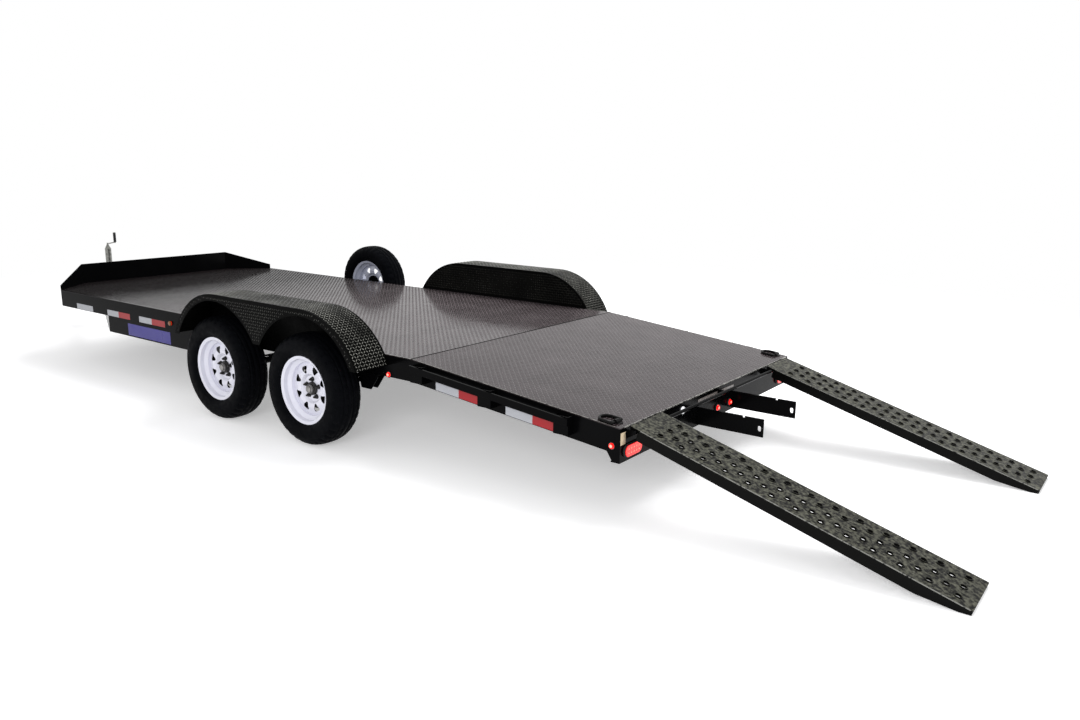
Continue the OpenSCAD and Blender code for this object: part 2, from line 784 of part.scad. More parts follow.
// A rounded triangle that points to the wheel's centre
window_tip = [[107, 0], [131, -14], [131, 14]];
window_round = 11;

function heading(i) = let (q = window_tip[(i + 1) % 3] - window_tip[i % 3]) atan2(q[1], q[0]) - 90;

function window_outline() =
    [for (i = [0:2]) let (a = heading(i + 2), turn = (heading(i) - a + 720) % 360)
        for (k = [0:6]) window_tip[i] + window_round * [cos(a + turn * k / 6), sin(a + turn * k / 6)]];

module rim() {
    half_turn = 180 / windows;
    difference() {
        rotate_extrude($fn = 96) polygon(rim_section());
        for (i = [0:windows - 1]) rotate([0, 0, (2 * i + 1) * half_turn])
            translate([0, 0, -1]) linear_extrude(40) polygon(window_outline());
    }
}

module hub() {
    bore = spindle_d / 2 + spindle_fit;
    rotate_extrude() polygon([
        [bore, -drum_in], [127, -drum_in], [127, -12], [72, -8], [72, 0], [40, 0], [40, 17], [37, 21],
        [28, 21], [26, 24], [26, 37], [22, hub_end + cap_t], [0, hub_end + cap_t], [0, hub_end], [bore, hub_end]]);
}

module tyre_front_left() { color(rubber_black) on_wheel(axle_x[0], -1) tyre(); }
module tyre_front_right() { color(rubber_black) on_wheel(axle_x[0], 1) tyre(); }
module tyre_rear_left() { color(rubber_black) on_wheel(axle_x[1], -1) tyre(); }
module tyre_rear_right() { color(rubber_black) on_wheel(axle_x[1], 1) tyre(); }
module rim_front_left() { color(wheel_white) on_wheel(axle_x[0], -1) rim(); }
module rim_front_right() { color(wheel_white) on_wheel(axle_x[0], 1) rim(); }
module rim_rear_left() { color(wheel_white) on_wheel(axle_x[1], -1) rim(); }
module rim_rear_right() { color(wheel_white) on_wheel(axle_x[1], 1) rim(); }
module hub_front_left() { color(steel) on_wheel(axle_x[0], -1) hub(); }
module hub_front_right() { color(steel) on_wheel(axle_x[0], 1) hub(); }
module hub_rear_left() { color(steel) on_wheel(axle_x[1], -1) hub(); }
module hub_rear_right() { color(steel) on_wheel(axle_x[1], 1) hub(); }

// The spare wheel stands outside the kerb side rail, its dish to the rail
spare_x = axle_mid - spare_ahead;
spare_face = 34;

module on_spare() {
    translate([spare_x, half_w + spare_face, spare_z]) rotate([90, 0, 0]) children();
}

module spare_tyre() {
    color(rubber_black) on_spare() translate([0, 0, -tyre_w / 2]) tyre();
}

module spare_rim() {
    color(wheel_white) on_spare() translate([0, 0, -tyre_w / 2]) rim();
}

// A post on the rail carries the spare wheel by the middle of its disc
module spare_bracket() {
    plate = 8;
    post = 50;
    seat = -tyre_w / 2 + disc_t;
    color(black) on_spare() {
        translate([0, 0, seat]) cylinder(r = 70, h = plate);
        translate([-post / 2, -post / 2, seat + plate / 2]) cube([post, post, spare_face - seat - plate]);
        translate([-post, -post / 2 - 5, spare_face - plate]) cube([2 * post, post + 10, plate]);
    }
}

// A ramp drawn with its hook at the origin, its length along X and its top at hook_deep.
// Five rows of traction holes are set half a pitch apart, and flat ribs stiffen it beneath.
ramp_back = 38;
grip_rows = 5;
grip_row = 48;
grip_first = 99;

module ramp_plate() {
    toe_margin = 60;
    n = floor((ramp_len - grip_first - toe_margin) / grip_pitch);
    difference() {
        translate([-ramp_back, -ramp_w / 2, hook_deep - ramp_t]) cube([ramp_len + ramp_back, ramp_w, ramp_t]);
        for (row = [0:grip_rows - 1], i = [0:n - row % 2]) let (y = (row - (grip_rows - 1) / 2) * grip_row)
            translate([grip_first + (i + (row % 2) / 2) * grip_pitch, y, hook_deep - ramp_t - 1])
                cylinder(d = grip_d, h = ramp_t + 2);
    }
}

module ramp_flange() {
    low = hook_deep - ramp_h;
    foot = 45;
    slot_w = hook_d + 2 * hook_fit;
    top = hook_deep - ramp_t / 2;
    heel = [ramp_len - foot * cos(ramp_angle), toe_low - foot * sin(ramp_angle)];
    difference() {
        polygon([
            [-ramp_back, top], [-ramp_back, hook_deep - ramp_t], [14 - ramp_back, low + 16], [20, low],
            [ramp_len - toe_cut, low], heel, [ramp_len, toe_low], [ramp_len, top]]);
        circle(d = slot_w);
        translate([-slot_w / 2, low - 1]) square([slot_w, 1 - low]);
    }
}

module ramp() {
    rib_t = 6;
    rib_h = 30;
    rib_every = 4;
    span = ramp_w - ramp_t;
    translate([hook_x, 0, hook_z]) rotate([0, ramp_angle, 0]) {
        ramp_plate();
        for (s = [-1, 1]) side_plate(s * span / 2 - ramp_t / 2, ramp_t) ramp_flange();
        for (i = [0:rib_every:2 * rib_every])
            translate([grip_first + (i + 0.25) * grip_pitch, -span / 2, hook_deep - ramp_t - rib_h])
                cube([rib_t, span, rib_h + ramp_t / 2]);
        translate([ramp_len - ramp_t, -span / 2, toe_low]) cube([ramp_t, span, toe_h - ramp_t / 2]);
    }
}

module ramp_left() {
    color(black) translate([0, -ramp_out + ramp_w / 2, 0]) ramp();
}

module ramp_right() {
    color(black) translate([0, ramp_out - ramp_w / 2, 0]) ramp();
}

// Lashing rings in clips at the rear corners of the deck
ring_x = rear_x - 60;
ring_y = half_w - 60;
ring_rod = 14;
ring_r = 44;
clip_t = 5;

// Stands a clip or a ring on the sloping deck, with the ring's axis at the origin
module on_corner(side) {
    translate([ring_x, side * ring_y, deck_z(ring_x)]) rotate([0, slope, 0])
        translate([0, 0, ring_rod / 2 + 0.3]) children();
}

module ring_clips() {
    w = 34;
    tab = 14;
    lift = ring_rod / 2 + 0.3;
    half = lift + clip_t;
    color(black) for (s = [-1, 1]) on_corner(s) side_plate(-w / 2, w) difference() {
        union() {
            circle(r = half);
            translate([-half - tab, -lift]) square([2 * (half + tab), clip_t]);
            translate([-half, -lift]) square([2 * half, lift]);
        }
        circle(r = lift);
        translate([-lift, -lift - 1]) square([2 * lift, lift + 1]);
        translate([-2 * half, -lift - 2 * half]) square([4 * half, 2 * half]);
    }
}

// A lashing ring lying flat: a bar through the clip, two sides and a half round end
module ring() {
    side = ring_r * 1.1;
    rotate([90, 0, 0]) cylinder(d = ring_rod, h = 2 * ring_r, center = true);
    translate([-side, 0, 0]) intersection() {
        rotate_extrude() translate([ring_r, 0]) circle(d = ring_rod);
        translate([-2 * ring_r, -2 * ring_r, -ring_rod]) cube([2 * ring_r, 4 * ring_r, 2 * ring_rod]);
    }
    for (s = [-1, 1]) translate([0, s * ring_r, 0]) {
        sphere(d = ring_rod);
        rotate([0, -90, 0]) cylinder(d = ring_rod, h = side);
    }
}

module ring_left() {
    color(black) on_corner(-1) ring();
}

module ring_right() {
    color(black) on_corner(1) ring();
}

deck_plate();
dovetail_plate();
bulkhead();
side_rails();
dovetail_rails();
nose_channel();
floor_crossmembers();
tongue_rails();
tongue_legs();
coupler();
jack_tube();
jack_leg();
jack_crank();
axle_beams();
backing_plates();
leaf_springs();
spring_clamps();
equalisers();
spring_hangers();
fender_left();
fender_right();
rear_apron();
hook_bar();
cradle_arms();
tail_lights();
id_lights();
side_markers();
stake_pockets();
rub_rails();
spare_bracket();
spare_tyre();
spare_rim();
tyre_front_left();
tyre_front_right();
tyre_rear_left();
tyre_rear_right();
rim_front_left();
rim_front_right();
rim_rear_left();
rim_rear_right();
hub_front_left();
hub_front_right();
hub_rear_left();
hub_rear_right();
ramp_left();
ramp_right();
ring_clips();
ring_left();
ring_right();
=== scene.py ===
import json
import math
import random

import bpy
from mathutils import Matrix, Vector


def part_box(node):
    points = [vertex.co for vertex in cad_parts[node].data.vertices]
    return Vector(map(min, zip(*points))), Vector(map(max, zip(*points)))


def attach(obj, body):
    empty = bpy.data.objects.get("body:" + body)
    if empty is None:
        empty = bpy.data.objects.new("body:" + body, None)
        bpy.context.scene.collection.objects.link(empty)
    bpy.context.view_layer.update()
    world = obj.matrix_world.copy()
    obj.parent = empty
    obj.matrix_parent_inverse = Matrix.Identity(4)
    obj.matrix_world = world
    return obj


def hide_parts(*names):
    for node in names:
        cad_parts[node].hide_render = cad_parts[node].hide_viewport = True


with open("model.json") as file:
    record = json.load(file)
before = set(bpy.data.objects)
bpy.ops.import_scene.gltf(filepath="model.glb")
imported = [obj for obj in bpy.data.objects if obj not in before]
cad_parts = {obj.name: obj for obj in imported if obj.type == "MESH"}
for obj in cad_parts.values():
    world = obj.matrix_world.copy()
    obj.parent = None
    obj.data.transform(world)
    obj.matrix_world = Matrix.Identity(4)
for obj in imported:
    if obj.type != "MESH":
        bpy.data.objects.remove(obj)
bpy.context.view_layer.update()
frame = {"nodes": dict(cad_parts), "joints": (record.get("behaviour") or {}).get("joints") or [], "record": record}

NODES = frame["nodes"]
X, Y, Z = Vector((1, 0, 0)), Vector((0, 1, 0)), Vector((0, 0, 1))

# Sizes in metres that the frame's boxes don't give
NOSE_W = 1.426
DOVETAIL_DROP = 0.139
PLATE_T = 0.005
RAIL_H = 0.127
TYRE_W = 0.203
RIM_R = 0.213
DISC_T = 0.004
FENDER_R = 0.508
FENDER_FLAT = 0.860
FENDER_FOOT = 0.545
SKIRT_H = 0.043
VALLEY_Z = 0.585
RAMP_LEN = 1.588
HOOK_DEEP = 0.016
TOE_H = 0.020
HOLE_D = 0.028
HOLE_FIRST = 0.099
HOLE_PITCH = 0.118
HOLE_ROWS = 5
HOLE_ROW = 0.048
TOE_MARGIN = 0.060
# Radius on a rim and how far its disc's face stands out from the wheel's middle plane there
DISC_FACE = ((0.079, 0.004), (0.093, 0.022), (0.118, 0.026), (0.150, 0.018), (0.166, 0.013))

# Metres behind the nose up to which the deck and its lugs are darkened, with little specular, as a painted
# reflection of the dark front, and from which they have their full colour and specular
DARK_NOSE_UNTIL = 1.1
DARK_NOSE_GONE_AT = 3.1

# Places read from the frame
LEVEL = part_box("deck_plate")
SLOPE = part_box("dovetail_plate")
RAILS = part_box("side_rails")
DECK_Z = LEVEL[1].z
NOSE_X = LEVEL[0].x
BEND_X = LEVEL[1].x
REAR_X = SLOPE[1].x
HALF_W = LEVEL[1].y
RAIL_X = RAILS[0].x
REAR_Z = DECK_Z - DOVETAIL_DROP
DOVE_TILT = math.atan2(DOVETAIL_DROP, REAR_X - BEND_X)


def middle(node):
    low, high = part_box(node)
    return (low + high) / 2


HUB_FRONT = middle("tyre_front_left")
HUB_REAR = middle("tyre_rear_left")
TYRE_R = HUB_FRONT.z
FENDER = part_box("fender_left")
FENDER_TOP = FENDER[1].z
FENDER_OUT = -FENDER[0].y
FENDER_Z = FENDER_TOP - FENDER_R
FENDER_MID = (FENDER[0].x + FENDER[1].x) / 2
ARCH_FRONT = FENDER_MID - FENDER_FLAT / 2
ARCH_REAR = FENDER_MID + FENDER_FLAT / 2


def deck_z(x):
    """Height of the deck's top surface at a station."""
    return DECK_Z if x < BEND_X else DECK_Z - (x - BEND_X) * math.tan(DOVE_TILT)


# Materials


class Nodes:
    """Short calls for the nodes of one tree."""

    def __init__(self, tree):
        self.tree = tree

    def node(self, kind, **values):
        """A new node. Each value sets the attribute of its name, or else the socket."""
        made = self.tree.nodes.new("ShaderNode" + kind)
        for key, value in values.items():
            if hasattr(made, key):
                setattr(made, key, value)
            else:
                made.inputs[key.replace("_", " ")].default_value = value
        return made

    def link(self, out, into):
        self.tree.links.new(out, into)

    def feed(self, socket, value):
        """Sets a socket to a number or a colour, or links an output to it."""
        if isinstance(value, float):
            socket.default_value = value
        elif isinstance(value, tuple):
            socket.default_value = (*value, 1)
        else:
            self.link(value, socket)

    def remap(self, value, low, high, start=0.35, end=0.65):
        """A number that goes from low to high as value goes from start to end."""
        made = self.node("MapRange", From_Min=start, From_Max=end, To_Min=low, To_Max=high)
        self.link(value, made.inputs["Value"])
        return made.outputs["Result"]

    def math(self, kind, *values):
        made = self.node("Math", operation=kind)
        for socket, value in zip(made.inputs, values):
            self.feed(socket, value)
        return made.outputs[0]

    def mix(self, factor, low, high):
        """A colour between low and high, each of them a colour or an output."""
        made = self.node("Mix", data_type="RGBA")
        self.link(factor, made.inputs["Factor"])
        self.feed(made.inputs["A"], low)
        self.feed(made.inputs["B"], high)
        return made.outputs["Result"]


class Shader(Nodes):
    """A material with a principled shader."""

    def __init__(self, name, base, rough, metallic=0.0):
        self.mat = bpy.data.materials.new(name)
        self.mat.use_nodes = True
        super().__init__(self.mat.node_tree)
        self.bsdf = self.tree.nodes["Principled BSDF"]
        self.coords = self.node("TexCoord")
        self.normal = None
        self.set("Base Color", (*base, 1))
        self.set("Roughness", rough)
        self.set("Metallic", metallic)

    def set(self, socket, value):
        self.bsdf.inputs[socket].default_value = value

    def wire(self, socket, out):
        self.link(out, self.bsdf.inputs[socket])

    def color(self, out):
        self.wire("Base Color", out)

    def rough(self, out):
        self.wire("Roughness", out)

    def axes(self, coords="Object"):
        """The X, Y and Z of a texture coordinate."""
        split = self.node("SeparateXYZ")
        self.link(self.coords.outputs[coords], split.inputs["Vector"])
        return [split.outputs[axis] for axis in "XYZ"]

    def noise(self, scale, detail=4.0, stretch=(1, 1, 1)):
        """A noise value in object space, stretched along an axis if asked."""
        place = self.node("Mapping", Scale=stretch)
        self.link(self.coords.outputs["Object"], place.inputs["Vector"])
        made = self.node("TexNoise", Scale=scale, Detail=detail, Roughness=0.6)
        self.link(place.outputs["Vector"], made.inputs["Vector"])
        return made.outputs["Fac"]

    def tint(self, value, low, high, start=0.35, end=0.65):
        """A colour that goes from low to high as value goes from start to end."""
        return self.mix(self.remap(value, 0.0, 1.0, start, end), low, high)

    def from_nose(self, low, high):
        """A number that goes from low near the nose to high at the axles."""
        return self.remap(self.axes()[0], low, high, NOSE_X + DARK_NOSE_UNTIL, NOSE_X + DARK_NOSE_GONE_AT)

    def painted_dark_nose(self, out, dark):
        """Colour darkened towards the nose: a painted reflection of the dark front on the deck."""
        return self.mix(self.from_nose(0.0, 1.0), dark, out)

    def bump(self, value, strength, distance):
        made = self.node("Bump", Strength=strength, Distance=distance)
        self.link(value, made.inputs["Height"])
        if self.normal is not None:
            self.link(self.normal, made.inputs["Normal"])
        self.normal = made.outputs["Normal"]
        self.wire("Normal", self.normal)

    def round_edges(self, radius):
        """Edges catch light as if they were rounded by radius."""
        made = self.node("Bevel", samples=4, Radius=radius)
        self.normal = made.outputs["Normal"]
        self.wire("Normal", self.normal)


def gloss_paint(name, base, rough, spec, edge=0.002):
    """Sprayed enamel: an even gloss with slight orange peel and a film of dust."""
    m = Shader(name, base, rough)
    m.set("Specular IOR Level", spec)
    m.round_edges(edge)
    dusty = tuple(min(1.0, c * 1.12 + 0.0006) for c in base)
    m.color(m.tint(m.noise(3.0, 6.0), base, dusty, 0.45, 0.75))
    m.rough(m.remap(m.noise(9.0, 5.0), rough * 0.85, rough * 1.35))
    m.bump(m.noise(160.0, 2.0), 0.10, 0.0006)
    return m.mat


def tread_paint(name, base, rough, spec, tint):
    """Painted treadplate between its raised lugs: scuffed along the wheel tracks."""
    m = Shader(name, base, rough)
    # Specular level cut towards the nose: a painted reflection that leaves the front of the deck dark.
    m.wire("Specular IOR Level", m.from_nose(spec * 0.2, spec))
    m.set("Specular Tint", (*tint, 1))
    m.round_edges(0.003)
    scuffed = tuple(c * 1.35 + 0.004 for c in base)
    worn = m.tint(m.noise(2.2, 9.0, (0.35, 1.6, 1)), base, scuffed, 0.42, 0.72)
    # The colour is darkened towards the nose as well, a painted reflection.
    m.color(m.painted_dark_nose(worn, tuple(c * 0.15 for c in base)))
    m.rough(m.remap(m.noise(6.0, 8.0), rough * 0.8, rough * 1.3))
    m.bump(m.noise(420.0, 3.0), 0.12, 0.0004)
    return m.mat


def ramp_paint(name, base, worn):
    """Black on the flanges, and lighter olive in fine mottled patches on the upward faces: partly wear where tyres
    roll, partly a painted sheen.
    """
    m = Shader(name, base, 0.3)
    m.set("Specular IOR Level", 0.06)
    m.round_edges(0.002)
    # Upward faces only: the lighter patches there are partly wear and partly a painted sheen of the top.
    top = m.remap(m.axes("Normal")[2], 0.0, 1.0, 0.85, 0.93)
    wear_and_sheen_patches = m.tint(m.noise(55.0, 10.0), base, worn, 0.42, 0.64)
    m.color(m.mix(top, base, wear_and_sheen_patches))
    m.rough(m.remap(m.noise(18.0, 6.0), 0.22, 0.42))
    m.bump(m.noise(240.0, 4.0), 0.2, 0.0004)
    return m.mat


def lug_paint(name, low, high, rough, metallic, start=0.4, end=0.7):
    """The raised lugs, where shoes and tyres polish the paint first; towards the nose their colour, metallic and
    specular level drop as a painted reflection.
    """
    m = Shader(name, low, rough, metallic)
    worn = m.tint(m.noise(5.0, 8.0), low, high, start, end)
    # Colour, metallic and specular level drop towards the nose as a painted reflection, so the lugs there read
    # dark.
    m.color(m.painted_dark_nose(worn, tuple(c * 0.12 for c in low)))
    m.wire("Metallic", m.from_nose(metallic * 0.1, metallic))
    m.wire("Specular IOR Level", m.from_nose(0.05, 0.5))
    m.rough(m.remap(m.noise(60.0, 3.0), rough * 0.7, rough * 1.4))
    return m.mat


def tyre_rubber(name):
    """Dull black rubber with a fine grain."""
    m = Shader(name, (0.0018, 0.002, 0.0028), 0.5)
    m.set("Specular IOR Level", 0.025)
    m.color(m.tint(m.noise(7.0, 6.0), (0.0015, 0.0017, 0.0024), (0.003, 0.0032, 0.0042), 0.4, 0.75))
    m.rough(m.remap(m.noise(30.0, 4.0), 0.42, 0.68))
    m.bump(m.noise(900.0, 2.0), 0.3, 0.0004)
    return m.mat


def rim_paint(name, base):
    """Wheel paint: glossy in front, and near black with a random tone on all that lies behind the disc's face, as
    painted shade in the barrel.
    """
    m = Shader(name, base, 0.22)
    m.set("Coat Weight", 0.4)
    m.set("Coat Roughness", 0.06)
    m.round_edges(0.0015)
    x, y, z = m.axes()
    from_hubs = [m.math("ABSOLUTE", m.math("SUBTRACT", x, hub.x)) for hub in (HUB_FRONT, HUB_REAR)]
    near = m.math("MINIMUM", *from_hubs)
    high = m.math("SUBTRACT", z, HUB_FRONT.z)
    reach = m.math("SQRT", m.math("ADD", m.math("MULTIPLY", near, near), m.math("MULTIPLY", high, high)))

    # The face's distance out is kept as a grey, and both are scaled to run from 0 to 1
    r_scale, out_scale = 5.0, 20.0
    face = m.node("ValToRGB")
    m.link(m.math("MULTIPLY", reach, r_scale), face.inputs["Fac"])
    stops = face.color_ramp.elements
    while len(stops) < len(DISC_FACE):
        stops.new(0.5)
    for stop, (r, out) in zip(stops, DISC_FACE):
        stop.position = r * r_scale
        stop.color = (out * out_scale, out * out_scale, out * out_scale, 1)
    proud = m.math("SUBTRACT", m.math("ABSOLUTE", y), abs(HUB_FRONT.y))
    gap = m.math("SUBTRACT", proud, m.math("MULTIPLY", face.outputs["Color"], 1 / out_scale))
    # All behind the disc's face turns near black with a random tone: painted shade in the barrel.
    painted_shade_behind_disc = m.tint(m.noise(20.0, 4.0), (0.006, 0.006, 0.006), (0.014, 0.0135, 0.013))
    m.color(m.mix(m.remap(gap, 0.0, 1.0, -0.0022, -0.0012), painted_shade_behind_disc, base))
    m.bump(m.noise(160.0, 2.0), 0.08, 0.0006)
    return m.mat


def zinc_plate(name):
    """Bright zinc with the cloudy patches of its plating."""
    m = Shader(name, (0.22, 0.22, 0.205), 0.32, 0.9)
    m.round_edges(0.001)
    m.color(m.tint(m.noise(26.0, 3.0), (0.15, 0.15, 0.138), (0.29, 0.29, 0.27)))
    m.rough(m.remap(m.noise(60.0, 3.0), 0.24, 0.45))
    return m.mat


def cast_hub(name, low, high, metallic=0.3):
    """Rough cast iron."""
    m = Shader(name, low, 0.42, metallic)
    m.set("Specular IOR Level", 0.3)
    m.round_edges(0.0015)
    m.color(m.tint(m.noise(40.0, 5.0), low, high))
    m.rough(m.remap(m.noise(70.0, 3.0), 0.3, 0.5))
    m.bump(m.noise(300.0, 3.0), 0.3, 0.0006)
    return m.mat


def glowing(name, base, rough, glow):
    """A shader lit from inside in its own colour."""
    m = Shader(name, base, rough)
    m.set("Emission Color", (*base, 1))
    m.set("Emission Strength", glow)
    return m


def lens(name, base, glow):
    """A coloured lens with fine prisms."""
    m = glowing(name, base, 0.12, glow)
    grid = m.node("TexVoronoi", Scale=190.0)
    m.link(m.coords.outputs["Object"], grid.inputs["Vector"])
    m.bump(grid.outputs["Distance"], 0.4, 0.0006)
    return m.mat


def led(name, base, glow):
    """A lit diode's clear cap."""
    m = glowing(name, base, 0.3, glow)
    m.rough(m.remap(m.noise(300.0), 0.2, 0.4))
    return m.mat


def tape(name, base):
    """Reflective tape: tiny sealed cells under a clear film."""
    m = Shader(name, base, 0.35)
    m.set("Specular IOR Level", 0.3)
    cells = m.node("TexVoronoi", feature="DISTANCE_TO_EDGE", Scale=260.0)
    m.link(m.coords.outputs["Object"], cells.inputs["Vector"])
    pale = tuple(c * 0.8 for c in base)
    m.color(m.tint(cells.outputs["Distance"], pale, base, 0.0, 0.12))
    return m.mat


def plain_rubber(name):
    """The moulded rubber of rings, valves and the crank's grip."""
    m = Shader(name, (0.008, 0.008, 0.0085), 0.5)
    m.set("Specular IOR Level", 0.3)
    m.rough(m.remap(m.noise(90.0), 0.42, 0.6))
    m.bump(m.noise(500.0), 0.2, 0.0004)
    return m.mat


def worn_steel_and_highlight(name, bare, start, end):
    """Bare steel where ramps and straps have rubbed the paint away, in broken patches; laid along edges, it is
    also a painted highlight.
    """
    m = Shader(name, bare, 0.3, 0.8)
    m.color(m.tint(m.noise(55.0, 6.0), (0.006, 0.006, 0.006), bare, start, end))
    m.rough(m.remap(m.noise(80.0), 0.25, 0.5))
    return m.mat


MATERIAL = {
    "gloss_black": gloss_paint("gloss_black", (0.0014, 0.0014, 0.0016), 0.18, 0.03),
    "black_treadplate": tread_paint("black_treadplate", (0.018, 0.0135, 0.0145), 0.12, 0.19, (1, 0.86, 0.9)),
    "fender_treadplate": gloss_paint("fender_treadplate", (0.0014, 0.0014, 0.0013), 0.36, 0.02, 0.001),
    "dull_black_steel": gloss_paint("dull_black_steel", (0.0025, 0.0025, 0.0025), 0.35, 0.1),
    "tyre_rubber": tyre_rubber("tyre_rubber"),
    "white_rim": rim_paint("white_rim", (0.74, 0.74, 0.83)),
    "silver_rim": gloss_paint("silver_rim", (0.46, 0.48, 0.58), 0.2, 0.7, 0.0015),
    "ramp_black": ramp_paint("ramp_black", (0.0016, 0.0016, 0.0014), (0.105, 0.105, 0.080)),
    "hub_grey": cast_hub("hub_grey", (0.008, 0.008, 0.0085), (0.03, 0.028, 0.027)),
    "zinc_steel": zinc_plate("zinc_steel"),
    "lamp_red": lens("lamp_red", (0.60, 0.008, 0.006), 1.6),
}
DECK_LUG = lug_paint("deck_lug", (0.125, 0.103, 0.108), (0.21, 0.178, 0.186), 0.3, 0.6)
# Fender lugs come in a lit copy for the crowns and a shaded copy for the skirts and inner faces: painted highlight
# and painted shade.
LIT_CROWN_LUG = lug_paint("fender_lug", (0.05, 0.05, 0.044), (0.50, 0.50, 0.45), 0.2, 0.75, 0.34, 0.74)
SHADED_SIDE_LUG = lug_paint("side_lug", (0.003, 0.003, 0.0026), (0.06, 0.06, 0.052), 0.24, 0.6, 0.34, 0.74)
LED_RED = led("led_red", (1.0, 0.16, 0.12), 3.2)
LED_SOFT = led("led_soft", (0.9, 0.10, 0.06), 2.2)
CAP_GREY = cast_hub("cap_grey", (0.16, 0.155, 0.15), (0.34, 0.33, 0.32), 0.6)
AMBER = lens("lamp_amber", (0.22, 0.065, 0.008), 0.02)
CLEAR = lens("lamp_clear", (0.75, 0.76, 0.78), 0.5)
TAPE_WHITE = tape("tape_white", (0.42, 0.43, 0.46))
TAPE_RED = tape("tape_red", (0.34, 0.010, 0.014))
BLUE = gloss_paint("blue_label", (0.050, 0.043, 0.23), 0.3, 0.2)
SAND = gloss_paint("sand_label", (0.62, 0.50, 0.34), 0.4, 0.3)
GREY_BAR = gloss_paint("grey_bar", (0.16, 0.14, 0.13), 0.3, 0.5)
WORN_AND_HIGHLIGHT = worn_steel_and_highlight("worn_edge_and_highlight", (0.40, 0.39, 0.36), 0.40, 0.54)
RAMP_WORN_EDGE_HIGHLIGHT = worn_steel_and_highlight("ramp_edge", (0.22, 0.22, 0.20), 0.34, 0.50)
RUBBER = plain_rubber("seal_rubber")

SLOT_OF = {s["node"]: s["material_slot"] for s in frame["record"]["subparts"]}
for node, obj in NODES.items():
    obj.data.materials.clear()
    obj.data.materials.append(MATERIAL[SLOT_OF[node]])


# Mesh building


def wrap(points, rows):
    """The faces between rows of points that close round on themselves."""
    faces = []
    for k in range(rows):
        here, there = k * points, (k + 1) % rows * points
        faces += [(here + i, there + i, there + i + 1, here + i + 1) for i in range(points - 1)]
    return faces


def piece(name, verts, faces, mat, body="chassis", smooth=True):
    """A mesh object from points and faces that rides on a body."""
    mesh = bpy.data.meshes.new(name)
    mesh.from_pydata([tuple(v) for v in verts], [], faces)
    mesh.materials.append(mat)
    mesh.validate()
    if smooth:
        mesh.shade_smooth()
    obj = bpy.data.objects.new(name, mesh)
    bpy.context.scene.collection.objects.link(obj)
    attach(obj, body)
    return obj


class Shape:
    """Points and faces gathered from many small forms."""

    def __init__(self):
        self.verts = []
        self.faces = []

    def add(self, verts, faces):
        start = len(self.verts)
        self.verts.extend(verts)
        self.faces.extend([tuple(i + start for i in f) for f in faces])

    def lathe(self, profile, place, steps=24):
        """Turns (radius, height) points about the Z axis of a placing matrix."""
        verts = []
        for k in range(steps):
            a = 2 * math.pi * k / steps
            verts += [place @ Vector((r * math.cos(a), r * math.sin(a), h)) for r, h in profile]
        self.add(verts, wrap(len(profile), steps))

    def prism(self, outline, place, height, chamfer=0.0):
        """A flat outline raised along Z with its top edge cut by a chamfer."""
        n = len(outline)
        mid = Vector((sum(p[0] for p in outline) / n, sum(p[1] for p in outline) / n))
        rings = [(outline, 0.0), (outline, height - chamfer)]
        if chamfer:
            inner = []
            for p in outline:
                q = Vector(p) - mid
                inner.append(tuple(mid + q * (1 - chamfer / max(q.length, chamfer * 2))))
            rings.append((inner, height))
        verts = [place @ Vector((p[0], p[1], z)) for ring, z in rings for p in ring]
        faces = [tuple(range(n - 1, -1, -1))]
        for r in range(len(rings) - 1):
            low, high = r * n, (r + 1) * n
            faces += [(low + i, low + (i + 1) % n, high + (i + 1) % n, high + i) for i in range(n)]
        faces.append(tuple((len(rings) - 1) * n + i for i in range(n)))
        self.add(verts, faces)

    def piece(self, name, mat, body="chassis", slot=None, smooth=True):
        return piece(name, self.verts, self.faces, mat, body, smooth)


def frame_at(point, out, along=None):
    """A placing matrix at a point with Z along out and X as near along as can be."""
    z = Vector(out).normalized()
    ref = Vector(along) if along else (X if abs(z.x) < 0.9 else Y)
    x = (ref - z * ref.dot(z)).normalized()
    y = z.cross(x)
    m = Matrix((x, y, z)).transposed().to_4x4()
    m.translation = Vector(point)
    return m


def rectangle(l, w):
    return [(-l / 2, -w / 2), (l / 2, -w / 2), (l / 2, w / 2), (-l / 2, w / 2)]


def ngon(r, n, turn):
    angles = [turn + 2 * math.pi * i / n for i in range(n)]
    return [(r * math.cos(a), r * math.sin(a)) for a in angles]


# Treadplate lugs: a raised lozenge every LUG_PITCH, turned a quarter from its neighbours

LUG_PITCH = 0.0190
LUG_LEN = 0.0200
LUG_W = 0.0058
LUG_H = 0.0016
LUG_SUNK = 0.0002
LUG_RIDGE = 0.22  # half the ridge along a lug's top, as a share of its length


def lug(shape, point, out, along, turn):
    """One lozenge with a ridge along its top."""
    side = out.cross(along)
    u = along * math.cos(turn) + side * math.sin(turn)
    v = out.cross(u)
    a, w, r = LUG_LEN / 2, LUG_W / 2, LUG_LEN * LUG_RIDGE
    low = point - out * LUG_SUNK
    top = point + out * LUG_H
    verts = [low - u * a, low - v * w, low + u * a, low + v * w, top - u * r, top + u * r]
    faces = [(0, 1, 4), (1, 5, 4), (1, 2, 5), (2, 3, 5), (3, 4, 5), (3, 0, 4)]
    shape.add(verts, faces)


def lug_field(shape, surface, length, width, keep=lambda u, v: True):
    """Covers a surface(u, v) -> point, out, along with lugs on a square grid set askew."""
    rows = int(width / LUG_PITCH)
    cols = int(length / LUG_PITCH)
    for i in range(cols):
        for j in range(rows):
            u = (i + 0.5) * length / cols
            v = (j + 0.5) * width / rows - width / 2
            if keep(u, v):
                point, out, along = surface(u, v)
                lug(shape, point, out, along, math.pi / 4 * (1 if (i + j) % 2 else -1))


